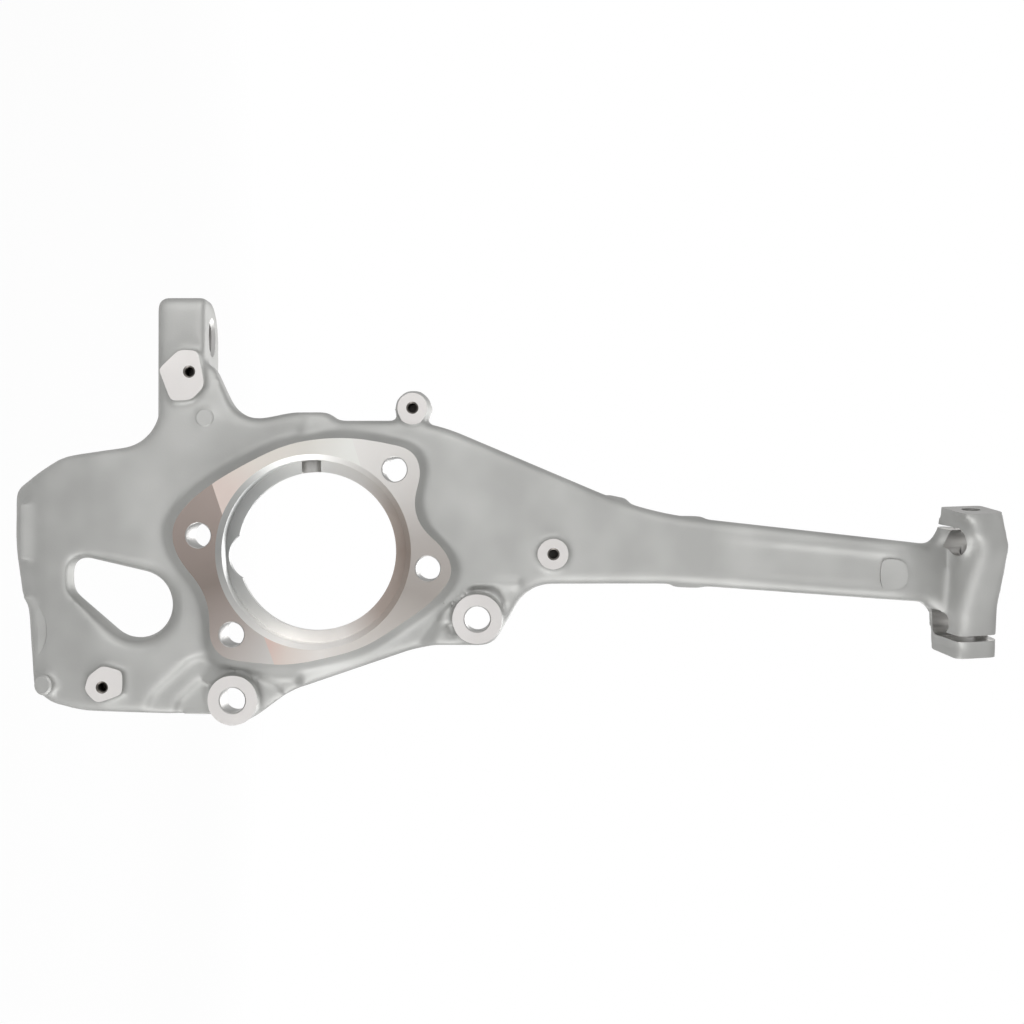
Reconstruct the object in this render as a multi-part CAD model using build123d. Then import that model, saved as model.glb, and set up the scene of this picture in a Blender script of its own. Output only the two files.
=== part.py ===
"""Steering knuckle for a double-joint front suspension, one aluminium casting with machined faces.

Frame of the row, in millimetres here: origin in the middle of the hub bore on the machined
flange face, +Z up the neck, -Y outboard (the way the flange looks), X along the vehicle.

The casting is drawn on the flange face.  In that drawing u runs up the neck, v runs across
it, and h is the height above the flange face towards the wheel, so h is negative inside the metal.
"""

import math
import os

from build123d import *

NODE = "knuckle"

# drawing plane on the flange face: u = +Z, v = -X, h = -Y
DRAWING = Plane(origin=(0, 0, 0), x_dir=(0, 0, 1), z_dir=(0, -1, 0))

# hub seat
HUB_SEAT_D = 98.0
HUB_MOUTH_D = 103.8
HUB_LIP_D = 85.6
HUB_SEAT_DEPTH = 19.0
HUB_RING_DEPTH = 24.0
SCALLOP_R = 13.6
SCALLOP_AT = (-34.0, -2.4)

# hub bolts: two pairs, each pair straight across the bore
BOLT_CIRCLE_D = 123.0
BOLT_HOLE_D = 13.0
BOLT_ANGLES = (45.4, 171.8)
BOLT_SEAT_R = 11.5
BOLT_GRIP = 28.0

# flange
PAD_H = 0.0
SKIRT_FOOT_H = -17.0
SKIRT_ROOT_H = -22.0
SKIRT_SPREAD = 10.0
SKIRT_KNEES = ((6.5, -11.0), (2.8, -5.5))
HUB_BACK_H = -34.0

# caliper bosses
CALIPER_MID = (21.6, -57.7)
CALIPER_SPACING = 137.7
CALIPER_TILT = 18.37
CALIPER_HOLE_D = 13.5
CALIPER_BOSS_R = 13.5
CALIPER_FACE_H = -6.0
CALIPER_GRIP = 22.0
CALIPER_SPOT_GAP = 1.0

# threaded bosses for the splash shield, all four faces in one plane
THREAD_D = 5.0
THREAD_DEPTH = 14.0
THREAD_FACE_H = -10.0
THREAD_ARM = (-67.5, 96.4)
THREAD_EDGE = (52.1, 77.0)
THREAD_NECK = (127.7, -1.4)
THREAD_LOWER = (-114.2, -72.8)
THREAD_BOSS_R = 8.1
THREAD_BOSS_DRAFT = 10.0
THREAD_BOSS_HEIGHT = 14.0

# steering arm eye, its hole along Z
EYE_U = (-87.0, -61.0)
EYE_V = 118.0
EYE_H = -46.0
EYE_HOLE_D = 18.0
EYE_HOLE_MOUTH_D = 22.0
EYE_TOP_V = 138.0
EYE_FRONT_H = -21.0
EYE_EDGE_R = 4.5
EYE_BACK_H = -70.0

# lower joints, holes along Z from the lower edge
LOWER_JOINT_D = 16.0
LOWER_JOINT_H = -52.0
LOWER_JOINT_A = (-162.5, 10.5)
LOWER_JOINT_B = (-155.0, -54.0)
LOWER_LUG_R = 15.5
LOWER_LUG_LENGTH = 34.0

# upper clamp head
STUD_D = 15.4
STUD_TILT = 21.0
STUD_RELIEF = 9.0
STUD_A = (345.6, 5.6, -29.0)
STUD_B = (340.8, -40.0, -35.0)
PINCH_D = 10.2
PINCH_U = 356.0
PINCH_H = -35.0
SLIT_A = 2.0
SLIT_B = 3.2

# sensor hole through the ring
SENSOR_D = 10.4
SENSOR_U = -2.9
SENSOR_H = -18.5

# outline of the casting seen from outboard: u, v, corner radius
BODY_OUTLINE = (
    (-85.7, 106.0, 6.5),
    (-84.4, 58.8, 23.0),
    (-138.3, 51.4, 30.0),
    (-167.9, 33.6, 9.0),
    (-168.1, 2.0, 60.0),
    (-163.0, -25.0, 9.0),
    (-158.8, -31.5, 9.0),
    (-155.0, -76.0, 8.0),
    (-144.0, -82.8, 12.0),
    (-128.0, -86.4, 40.0),
    (-58.0, -88.4, 40.0),
    (-34.8, -90.6, 10.0),
    (-14.4, -75.3, 50.0),
    (57.5, -50.8, 60.0),
    (95.3, -51.0, 12.0),
    (114.1, -17.6, 22.0),
    (190.0, -17.8, 150.0),
    (334.8, -28.3, 9.0),
    (338.0, -47.0, 0.0),
    (346.0, -47.0, 0.0),
    (346.0, 16.0, 0.0),
    (343.2, 16.0, 0.0),
    (335.6, 3.4, 7.0),
    (179.0, 20.8, 200.0),
    (61.0, 70.4, 90.0),
    (12.0, 70.4, 7.0),
    (6.5, 74.9, 6.5),
    (-13.0, 74.9, 30.0),
    (-28.0, 71.9, 20.0),
    (-42.8, 71.7, 18.0),
    (-56.6, 101.0, 8.0),
)

# side view of the outboard side: u, h, radius of the bend
FRONT_LINE = (
    (-151.0, -21.5, 25.0),
    (-118.0, -14.6, 60.0),
    (-62.0, -12.4, 100.0),
    (-8.0, -9.0, 100.0),
    (78.0, -9.0, 100.0),
    (122.0, -12.6, 150.0),
    (168.0, -18.4, 150.0),
    (318.0, -20.4, 40.0),
)
FRONT_ENDS = ((-174.0, -42.0), (348.0, -34.0))
PLATE_BACK_H = -43.0

# machined pad round the hub: points of its free outline
PAD_OUTLINE = (
    (-53.5, 36.0),
    (-67.0, 24.8),
    (-74.2, 12.5),
    (-72.5, 0.0),
    (-58.6, -20.5),
    (-54.9, -35.0),
    (-53.6, -48.5),
    (-46.5, -56.0),
    (-36.5, -58.0),
    (-15.0, -59.6),
    (6.0, -56.3),
    (26.0, -50.4),
    (46.0, -38.5),
    (66.3, -22.6),
    (73.2, -10.5),
    (69.6, 0.3),
    (57.4, 13.6),
    (53.8, 26.0),
    (56.5, 44.0),
    (52.6, 52.4),
    (40.0, 57.2),
    (20.7, 60.1),
    (4.0, 59.8),
    (-12.0, 57.0),
    (-34.5, 47.2),
)

# window through the lower web: u, v, radius of the three corner circles where its two drafts meet
WINDOW_CORNERS = (
    (-126.4, -11.6, 7.8),
    (-126.5, -17.5, 7.6),
    (-97.4, -28.9, 18.0),
)
WINDOW_WAIST_H = -28.0
WINDOW_DRAFT = 10.0
WINDOW_HEIGHT = 30.0
WINDOW_DEPTH = 44.0
WINDOW_MOUTH_H = -17.5
WINDOW_MOUTH_DRAFT = 50.0
WINDOW_RIM = 10.0

# irregular machined pads under two of the threads
ARM_PAD = (
    (-84.0, 97.8, 3.0),
    (-72.9, 108.4, 5.0),
    (-62.7, 107.9, 4.0),
    (-58.9, 88.7, 5.0),
    (-65.8, 81.4, 3.0),
    (-77.4, 80.6, 3.0),
)
LOWER_PAD = (
    (-121.9, -66.9, 6.0),
    (-114.2, -60.8, 2.0),
    (-103.2, -63.9, 3.0),
    (-103.2, -76.5, 5.0),
    (-117.1, -81.6, 6.0),
    (-123.9, -74.5, 5.0),
)

# clamp head, cut across at a few places: v, left, ridge, right, height of the ridge
HEAD_SECTIONS = (
    (22.7, 341.0, 350.7, 371.8, -17.5),
    (4.0, 338.5, 360.0, 376.0, -17.0),
    (-14.0, 336.5, 354.0, 373.6, -17.0),
    (-30.0, 335.5, 349.6, 371.0, -17.0),
    (-57.0, 338.8, 348.5, 371.2, -17.5),
)
HEAD_PIVOT = (-18.0, -33.0)
HEAD_LEAN = 8.6
HEAD_LEFT_BACK_H = -45.0
HEAD_RIGHT_BACK_H = -50.0


BODY_EDGE_R = 6.0

# lowered ground beside the caliper bosses: corners and the height of its floor
TERRACES = (
    (
        (
            (-101.0, -96.0, 2.0),
            (-93.0, -74.0, 14.0),
            (-69.0, -53.0, 14.0),
            (-44.0, -50.0, 10.0),
            (-8.0, -60.0, 12.0),
            (4.0, -96.0, 2.0),
        ),
        -16.5,
    ),
    (
        (
            (-86.0, -96.0, 2.0),
            (-82.0, -76.0, 12.0),
            (-65.0, -61.0, 12.0),
            (-44.0, -57.0, 10.0),
            (-14.0, -66.0, 12.0),
            (-4.0, -96.0, 2.0),
        ),
        -20.0,
    ),
    (
        (
            (44.0, -70.0, 2.0),
            (58.0, -44.0, 16.0),
            (76.0, -21.0, 12.0),
            (101.0, -24.0, 12.0),
            (112.0, -70.0, 2.0),
        ),
        -18.0,
    ),
)
# low cast rib above the upper caliper boss
CALIPER_RIB = (
    (45.0, -49.0, 1.5),
    (73.0, -19.5, 8.0),
    (82.0, -14.5, 8.0),
    (110.0, -15.0, 1.5),
    (110.0, -19.0, 1.5),
    (84.0, -19.0, 5.0),
    (77.0, -22.5, 5.0),
    (50.0, -52.0, 1.5),
)
CALIPER_RIB_H = -9.6
CALIPER_RIB_FOOT_H = -20.0
TERRACE_SLOPE = 40.0
TERRACE_TOP_H = -9.0
DISH_SHIFT = (-2.6, 3.0)
DISH_TOP_R = 18.5
DISH_TOP_H = -15.0
DISH_FLOOR_R = 14.5
DISH_FLOOR_H = -22.0

# small cast details
NECK_LANDS = (
    ((155.0, 22.0, 0.0), (158.5, 30.6, 0.0), (168.0, 28.6, 0.0), (174.5, 16.0, 0.0)),
    ((196.0, 12.0, 0.0), (199.0, 19.2, 0.0), (209.5, 18.8, 0.0), (212.5, 10.0, 0.0)),
    ((191.0, -12.0, 0.0), (193.5, -19.8, 0.0), (208.5, -20.4, 0.0), (211.5, -12.0, 0.0)),
)
NECK_LAND_H = (-37.0, -25.5)
ARM_STUD_AT = (-59.5, 71.8)
ARM_STUD_R = 5.0
ARM_STUD_H = -11.4
LUG_STUD_AT = (-145.2, -72.2, -24.0)
LUG_STUD_R = 5.5
LUG_STUD_TILT = 20.0
EDGE_FLAT_AT = (-168.6, -43.3)
EDGE_FLAT_R = 21.6
EDGE_FLAT_H = -22.5
NECK_PAD = (
    (308.0, -5.5, 2.5),
    (314.5, -5.5, 4.0),
    (319.5, -9.0, 3.0),
    (319.5, -16.0, 3.0),
    (314.5, -19.5, 4.0),
    (308.0, -19.5, 2.5),
)
NECK_PAD_H = -21.2
SENSOR_BOSS_R = 8.8
SENSOR_BOSS_V = (54.0, 75.0)

# channels and pockets of the neck: u and the two edges, then the floor
CHANNEL_SECTIONS = (
    (208.0, -15.5, 11.5, -18.4),
    (250.0, -19.0, 8.0, -21.0),
    (300.0, -22.8, 2.8, -22.2),
    (326.0, -24.5, 0.0, -22.6),
)
NECK_POCKET_SECTIONS = (
    (100.0, -9.0, 45.0),
    (150.0, -10.5, 24.0),
    (210.0, -12.0, 10.0),
    (322.0, -20.5, -3.0),
)
NECK_POCKET_H = -29.0
WEB_POCKET_H = -25.0
WEB_POCKETS = (
    (
        (-154.0, 28.0, 6.0),
        (-130.0, 42.0, 8.0),
        (-84.0, 48.0, 8.0),
        (-84.0, -2.0, 8.0),
        (-154.0, -2.0, 6.0),
    ),
    (
        (-146.0, -12.0, 5.0),
        (-70.0, -12.0, 5.0),
        (-64.0, -60.0, 8.0),
        (-64.0, -80.0, 6.0),
        (-140.0, -76.0, 8.0),
    ),
)

# front of the web where it falls to the arm: v, h at the start and the end of the slope
ARM_SLOPE = ((62.0, -9.5), (106.0, -21.0))

# steering arm seen along Z: v, h, corner radius
ARM_PROFILE = (
    (30.0, -20.0, 0.0),
    (EYE_TOP_V, EYE_FRONT_H, 7.0),
    (EYE_TOP_V, EYE_BACK_H, 24.0),
    (92.0, EYE_BACK_H, 20.0),
    (52.0, -38.0, 20.0),
    (30.0, -33.0, 0.0),
)


def corner_arc(before, corner, after, radius):
    """Points where a rounded corner starts, peaks and ends."""
    ax = before[0] - corner[0]
    ay = before[1] - corner[1]
    bx = after[0] - corner[0]
    by = after[1] - corner[1]
    la = math.hypot(ax, ay)
    lb = math.hypot(bx, by)
    ax, ay, bx, by = ax / la, ay / la, bx / lb, by / lb
    half = math.acos(max(-1.0, min(1.0, ax * bx + ay * by))) / 2
    reach = radius / math.tan(half)
    mx, my = ax + bx, ay + by
    lm = math.hypot(mx, my)
    to_middle = radius / math.sin(half)
    peak = to_middle - radius
    return (
        (corner[0] + ax * reach, corner[1] + ay * reach),
        (corner[0] + mx / lm * peak, corner[1] + my / lm * peak),
        (corner[0] + bx * reach, corner[1] + by * reach),
    )


def soft_polygon(corners):
    """Face of a polygon whose corners are rounded with tangent arcs."""
    count = len(corners)
    spans = []
    for i, corner in enumerate(corners):
        before = corners[i - 1]
        after = corners[(i + 1) % count]
        if corner[2] > 0:
            spans.append(corner_arc(before, corner, after, corner[2]))
        else:
            spans.append(((corner[0], corner[1]),))
    edges = []
    for i, span in enumerate(spans):
        if len(span) == 3:
            edges.append(ThreePointArc(*span))
        start = span[-1]
        end = spans[(i + 1) % count][0]
        if math.dist(start, end) > 0.01:
            edges.append(Line(start, end))
    return make_face(Curve() + edges)


def pad_face(spread):
    """Flange outline, moved away from the hub by the given amount."""
    points = []
    for u, v in PAD_OUTLINE:
        r = math.hypot(u, v)
        points.append((u * (r + spread) / r, v * (r + spread) / r))
    return make_face(Spline(*points, periodic=True))


def prism(face, low, high):
    """Solid between two heights over a flat face."""
    return extrude(Pos(0, 0, low) * face, high - low)


def disc(centre, radius, low, high):
    """Round pillar between two heights."""
    return prism(Pos(*centre) * Circle(radius), low, high)


def bolt_points():
    """Middles of the four hub bolts."""
    r = BOLT_CIRCLE_D / 2
    places = []
    for angle in BOLT_ANGLES:
        a = math.radians(angle)
        places.append((r * math.cos(a), r * math.sin(a)))
        places.append((-r * math.cos(a), -r * math.sin(a)))
    return places


def caliper_points():
    """Middles of the two caliper bolts."""
    a = math.radians(CALIPER_TILT)
    du = CALIPER_SPACING / 2 * math.cos(a)
    dv = CALIPER_SPACING / 2 * math.sin(a)
    u, v = CALIPER_MID
    return [(u + du, v + dv), (u - du, v - dv)]


def side_face():
    """Side view of the casting in u and h."""
    left, right = FRONT_ENDS
    corners = [(left[0], left[1], 0.0)]
    corners += FRONT_LINE
    corners += [
        (right[0], right[1], 0.0),
        (right[0], -44.0, 0.0),
        (130.0, -42.0, 30.0),
        (80.0, HUB_BACK_H, 30.0),
        (-84.0, HUB_BACK_H, 20.0),
        (-100.0, PLATE_BACK_H, 20.0),
        (left[0], PLATE_BACK_H, 0.0),
    ]
    return soft_polygon(corners)


def body():
    """Web and neck: the outline and the side view, each pushed through the other."""
    plan = prism(soft_polygon(BODY_OUTLINE), -60.0, 0.0)
    side_plane = Plane(origin=(0, 150, 0), x_dir=(1, 0, 0), z_dir=(0, -1, 0))
    side = extrude(side_plane * side_face(), 300)
    blank = plan & side
    outboard = [f for f in blank.faces() if f.normal_at().Z > 0.2]
    rim = []
    for face in outboard:
        for edge in face.edges():
            shared = sum(edge in other.edges() for other in outboard)
            if shared == 1 and edge.center().X < 328:
                rim.append(edge)
    return blank.fillet(BODY_EDGE_R, rim)


def caliper_terraces():
    """Lowered ground beside the caliper bosses, with sloping cast walls."""
    cut = Part()
    for corners, floor in TERRACES:
        top = soft_polygon(corners)
        cut += extrude(Pos(0, 0, TERRACE_TOP_H) * top, floor - TERRACE_TOP_H, taper=TERRACE_SLOPE)
        cut += prism(top, TERRACE_TOP_H, 5)
    return cut


def caliper_dishes():
    """Cast dish round each caliper boss."""
    cut = Part()
    for u, v in caliper_points():
        profile = Plane.XZ * Polygon(
            (0, 2), (DISH_TOP_R, 2), (DISH_TOP_R, DISH_TOP_H), (DISH_FLOOR_R, DISH_FLOOR_H), (0, DISH_FLOOR_H),
            align=None,
        )
        cut += Pos(u + DISH_SHIFT[0], v + DISH_SHIFT[1], 0) * revolve(profile, Axis.Z)
    return cut


def hub_flange():
    """Flange standing on the web: straight wall inside, cast skirt outside."""
    low = Pos(0, 0, SKIRT_FOOT_H) * pad_face(SKIRT_SPREAD)
    knees = [Pos(0, 0, h) * pad_face(spread) for spread, h in SKIRT_KNEES]
    top = Pos(0, 0, PAD_H) * pad_face(0)
    skirt = loft([low] + knees + [top], ruled=True)
    root = prism(pad_face(SKIRT_SPREAD), SKIRT_ROOT_H, SKIRT_FOOT_H)
    wall = prism(pad_face(0), HUB_BACK_H, PAD_H)
    inside = prism(soft_polygon(BODY_OUTLINE), -60, 5)
    return ((skirt + root) & inside) + wall


def leaning(shape):
    """Shape of the clamp head turned from its own upright pose into the casting."""
    v, h = HEAD_PIVOT
    return Pos(0, v, h) * Rot(HEAD_LEAN, 0, 0) * Pos(0, -v, -h) * shape


def clamp_head():
    """Upper clamp head, lofted through sections across its length."""
    sections = []
    for v, left, ridge, right, height in HEAD_SECTIONS:
        corners = (
            (left, HEAD_LEFT_BACK_H, 0.0),
            (right - 7.0, HEAD_RIGHT_BACK_H, 0.0),
            (right, height - 6.0, 4.5),
            (ridge, height, 6.0),
        )
        plane = Plane(origin=(0, v, 0), x_dir=(1, 0, 0), z_dir=(0, -1, 0))
        sections.append(plane * soft_polygon(corners))
    return leaning(loft(sections, ruled=True))


def arm_eye():
    """Steering arm: its side view in v and h, as thick as the eye."""
    profile = soft_polygon(ARM_PROFILE)
    plane = Plane(origin=(EYE_U[0], 0, 0), x_dir=(0, 1, 0), z_dir=(1, 0, 0))
    arm = extrude(plane * profile, EYE_U[1] - EYE_U[0])
    ends = arm.edges().filter_by(lambda e: e.center().Y > 45 and abs(e.tangent_at(0.5).X) < 0.1)
    far = [e for e in ends if abs(e.center().X - EYE_U[0]) < 0.1]
    return arm.fillet(EYE_EDGE_R, far)


def lower_lugs():
    """Bosses of the two lower joints behind the web."""
    lugs = Part()
    rise = WEB_POCKET_H + 1 - LOWER_JOINT_H
    for u, v in (LOWER_JOINT_A, LOWER_JOINT_B):
        plane = Plane(origin=(u, v, LOWER_JOINT_H), x_dir=(0, 1, 0), z_dir=(1, 0, 0))
        lug = extrude(plane * Circle(LOWER_LUG_R), LOWER_LUG_LENGTH)
        root = extrude(plane * Pos(0, rise / 2) * Rectangle(2 * LOWER_LUG_R, rise), LOWER_LUG_LENGTH)
        lugs += lug
        lugs += root
    return lugs


def bosses():
    """Pillars of the caliper bosses and the threads, standing on the cast ground."""
    pillars = Part()
    for at in caliper_points():
        pillars += disc(at, CALIPER_BOSS_R, CALIPER_FACE_H - CALIPER_GRIP, CALIPER_FACE_H)
    for at in (THREAD_EDGE, THREAD_NECK):
        face = Pos(at[0], at[1], THREAD_FACE_H) * Circle(THREAD_BOSS_R)
        pillars += extrude(face, THREAD_BOSS_HEIGHT, dir=(0, 0, -1), taper=-THREAD_BOSS_DRAFT)
    pillars += prism(soft_polygon(ARM_PAD), -32, THREAD_FACE_H)
    pillars += prism(soft_polygon(LOWER_PAD), -24, THREAD_FACE_H)
    return pillars


def small_marks():
    """Grip lands on the neck edges, clamping studs and the flat on the rolled edge."""
    marks = Part()
    for corners in NECK_LANDS:
        marks += prism(soft_polygon(corners), *NECK_LAND_H)
    marks += disc(ARM_STUD_AT, ARM_STUD_R, -20, ARM_STUD_H)
    stud = Pos(*LUG_STUD_AT) * Rot(0, -LUG_STUD_TILT, 0) * Cylinder(LUG_STUD_R, 16)
    marks += stud
    marks += disc(EDGE_FLAT_AT, EDGE_FLAT_R, -40, EDGE_FLAT_H) & prism(Pos(2.4, 0) * soft_polygon(BODY_OUTLINE), -40, -10)
    marks += prism(soft_polygon(NECK_PAD), -24, NECK_PAD_H)
    return marks


def sensor_boss():
    """Half-round boss of the sensor hole on top of the ring."""
    start = Plane(origin=(SENSOR_U, SENSOR_BOSS_V[0], SENSOR_H), x_dir=(1, 0, 0), z_dir=(0, 1, 0))
    return extrude(start * Circle(SENSOR_BOSS_R), SENSOR_BOSS_V[1] - SENSOR_BOSS_V[0])


def window():
    """Waist of the three-cornered window."""
    circles = Sketch()
    for u, v, r in WINDOW_CORNERS:
        circles += Pos(u, v) * Circle(r)
    return make_face(make_hull(circles.edges()))


def window_cut():
    """Window with draft both ways from its waist and a wide cast mouth."""
    waist = Pos(0, 0, WINDOW_WAIST_H) * window()
    cut = extrude(waist, WINDOW_HEIGHT, taper=-WINDOW_DRAFT)
    cut += extrude(waist, WINDOW_DEPTH, dir=(0, 0, -1), taper=-WINDOW_DRAFT)
    grown = (WINDOW_MOUTH_H - WINDOW_WAIST_H) * math.tan(math.radians(WINDOW_DRAFT))
    mouth = Pos(0, 0, WINDOW_MOUTH_H) * offset(window(), grown, kind=Kind.ARC)
    cut += extrude(mouth, 8, taper=-WINDOW_MOUTH_DRAFT)
    return cut


def neck_channel():
    """Shallow channel along the outboard side of the neck."""
    sections = []
    for u, bottom, top, floor in CHANNEL_SECTIONS:
        plane = Plane(origin=(u, 0, 0), x_dir=(0, 1, 0), z_dir=(1, 0, 0))
        sections.append(plane * Polygon(
            (bottom - 6, 0), (top + 6, 0), (top - 5, floor), (bottom + 5, floor), align=None,
        ))
    return loft(sections)


def back_pockets():
    """Pockets that lighten the inboard side."""
    neck = []
    for u, bottom, top in NECK_POCKET_SECTIONS:
        plane = Plane(origin=(u, 0, 0), x_dir=(0, 1, 0), z_dir=(1, 0, 0))
        neck.append(plane * Polygon(
            (bottom, -60), (top, -60), (top, -40), (top - 4, NECK_POCKET_H), (bottom + 4, NECK_POCKET_H),
            (bottom, -40), align=None,
        ))
    cut = loft(neck, ruled=True)
    rim = offset(window(), WINDOW_RIM, kind=Kind.ARC)
    for corners in WEB_POCKETS:
        face = soft_polygon(corners) - rim
        cut += prism(face, -60, WEB_POCKET_H)
    return cut


def hub_cuts():
    """Hub seat with its chamfer, the lip, the scallop and the bolt holes."""
    r_mouth = HUB_MOUTH_D / 2
    r_seat = HUB_SEAT_D / 2
    r_lip = HUB_LIP_D / 2
    profile = Plane.XZ * Polygon(
        (0, 5), (r_mouth, 5), (r_mouth, 0), (r_seat, r_seat - r_mouth), (r_seat, -HUB_SEAT_DEPTH),
        (r_lip, -HUB_SEAT_DEPTH), (r_lip, -HUB_RING_DEPTH), (r_seat - 1, -HUB_RING_DEPTH),
        (r_seat + 3, -50), (0, -50), align=None,
    )
    cut = revolve(profile, Axis.Z)
    cut += disc(SCALLOP_AT, SCALLOP_R, -50, -HUB_SEAT_DEPTH)
    for at in bolt_points():
        cut += disc(at, BOLT_HOLE_D / 2, -50, 5)
        cut += disc(at, BOLT_SEAT_R, -60, -BOLT_GRIP)
    return cut


def threads():
    """Blind threaded holes at their minor diameter."""
    cut = Part()
    for at in (THREAD_ARM, THREAD_EDGE, THREAD_NECK, THREAD_LOWER):
        profile = Plane.XZ * Polygon(
            (0, 5), (THREAD_D / 2, 5), (THREAD_D / 2, -THREAD_DEPTH), (0, -THREAD_DEPTH), align=None,
        )
        cut += Pos(at[0], at[1], THREAD_FACE_H) * revolve(profile, Axis.Z)
    return cut


def along_u(at, radius, start, end):
    """Round cutter along the neck at a given v and h."""
    plane = Plane(origin=(start, at[0], at[1]), x_dir=(0, 1, 0), z_dir=(1, 0, 0))
    return extrude(plane * Circle(radius), end - start)


def joint_cuts():
    """Eye of the steering arm, lower joints and sensor hole."""
    eye = (EYE_V, EYE_H)
    cut = along_u(eye, EYE_HOLE_D / 2, EYE_U[0] - 5, EYE_U[1] + 8)
    profile = Plane.XZ * Polygon(
        (0, 0), (EYE_HOLE_D / 2, 0), (EYE_HOLE_MOUTH_D / 2, 2), (EYE_HOLE_MOUTH_D / 2, 10), (0, 10), align=None,
    )
    mouth = revolve(profile, Axis.Z)
    cut += Plane(origin=(EYE_U[1] - 2, EYE_V, EYE_H), x_dir=(0, 1, 0), z_dir=(1, 0, 0)) * mouth
    for u, v in (LOWER_JOINT_A, LOWER_JOINT_B):
        at = (v, LOWER_JOINT_H)
        cut += along_u(at, LOWER_JOINT_D / 2, u - 10, u + LOWER_LUG_LENGTH + 12)
    start = Plane(origin=(SENSOR_U, 0, SENSOR_H), x_dir=(1, 0, 0), z_dir=(0, 1, 0))
    cut += extrude(start * Circle(SENSOR_D / 2), 100)
    return cut


def stud_line(at):
    """Plane at a stud bore's lower mouth, looking up the bore."""
    a = math.radians(STUD_TILT)
    return Plane(origin=at, x_dir=(0, 1, 0), z_dir=(math.cos(a), 0, -math.sin(a)))


def head_cuts():
    """Two slanted stud bores, the two slits and the pinch bolt hole."""
    cut = Part()
    for at in (STUD_A, STUD_B):
        cut += extrude(stud_line(at) * Pos(0, 0, -STUD_RELIEF) * Circle(STUD_D / 2), 70)
    half = STUD_D / 2
    high = STUD_A[1] + half - SLIT_A / 2
    cut += Pos(360, high, STUD_A[2] - 20) * Box(80, SLIT_A, 32)
    low = STUD_B[1] - half + SLIT_B / 2
    cut += Pos(360, low, STUD_B[2] + 15) * Box(80, SLIT_B, 30)
    axis = Plane(origin=(PINCH_U, -18, PINCH_H), x_dir=(1, 0, 0), z_dir=(0, 1, 0))
    cut += extrude(axis * Circle(PINCH_D / 2), 70, both=True)
    return leaning(cut)


def arm_slope():
    """Ground that falls from the web to the front of the steering arm."""
    first, last = ARM_SLOPE
    plane = Plane(origin=(EYE_U[0] - 23, 0, 0), x_dir=(0, 1, 0), z_dir=(1, 0, 0))
    side = Polygon(first, last, (last[0] + 60, last[1]), (last[0] + 60, 5), (first[0], 5), align=None)
    return extrude(plane * side, 80)


def knuckle():
    """The whole casting: grown, hollowed, then machined."""
    solid = body()
    solid -= caliper_terraces()
    solid -= caliper_dishes()
    solid -= neck_channel()
    solid -= arm_slope()
    solid += prism(soft_polygon(CALIPER_RIB), CALIPER_RIB_FOOT_H, CALIPER_RIB_H)
    solid += hub_flange()
    solid += clamp_head()
    solid += arm_eye()
    solid += bosses()
    solid += small_marks()
    solid += sensor_boss()
    solid -= back_pockets()
    solid += lower_lugs()
    solid -= window_cut()
    solid -= hub_cuts()
    solid -= threads()
    solid -= joint_cuts()
    solid -= head_cuts()
    for at in caliper_points():
        solid -= disc(at, CALIPER_HOLE_D / 2, -80, 10)
        solid -= disc(at, CALIPER_BOSS_R + CALIPER_SPOT_GAP, -80, CALIPER_FACE_H - CALIPER_GRIP)
    return solid


os.makedirs("parts", exist_ok=True)
export_step(DRAWING * knuckle(), os.path.join("parts", NODE + ".step"))
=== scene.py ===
import math

import bpy
from mathutils import Matrix, Vector


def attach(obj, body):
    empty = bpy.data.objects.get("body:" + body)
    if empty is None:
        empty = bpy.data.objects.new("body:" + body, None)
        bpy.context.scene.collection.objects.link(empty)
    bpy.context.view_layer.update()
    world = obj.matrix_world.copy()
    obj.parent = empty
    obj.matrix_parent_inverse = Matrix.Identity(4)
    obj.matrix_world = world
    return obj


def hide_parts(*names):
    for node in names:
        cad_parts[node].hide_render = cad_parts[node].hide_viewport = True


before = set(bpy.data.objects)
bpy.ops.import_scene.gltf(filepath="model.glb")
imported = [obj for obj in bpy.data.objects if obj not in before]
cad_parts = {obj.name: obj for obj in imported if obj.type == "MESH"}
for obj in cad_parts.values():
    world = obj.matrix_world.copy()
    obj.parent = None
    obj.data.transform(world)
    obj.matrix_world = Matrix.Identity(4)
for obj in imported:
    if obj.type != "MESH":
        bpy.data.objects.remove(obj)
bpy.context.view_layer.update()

MM = 0.001

# sizes of the casting in millimetres, on the drawing of its flange:
# u up the neck, v across it, h the height towards the wheel
MOUTH_R, SEAT_R, LIP_R = 51.9, 49.0, 42.8
SEAT_DEPTH, RING_DEPTH = 19.0, 24.0
SCALLOP_AT, SCALLOP_R = (-34.0, -2.4), 13.6
BOLT_CIRCLE_R, BOLT_HOLE_R, BOLT_SEAT_R, BOLT_GRIP = 61.5, 6.5, 11.5, 28.0
BOLT_ANGLES = (45.4, 171.8, 225.4, 351.8)
CALIPER_BOLTS = ((86.94, -36.0), (-43.74, -79.4))
CALIPER_BOSS_R, CALIPER_HOLE_R = 13.5, 6.75
CALIPER_FACE_H, CALIPER_BACK_H = -6.0, -28.0
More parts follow.
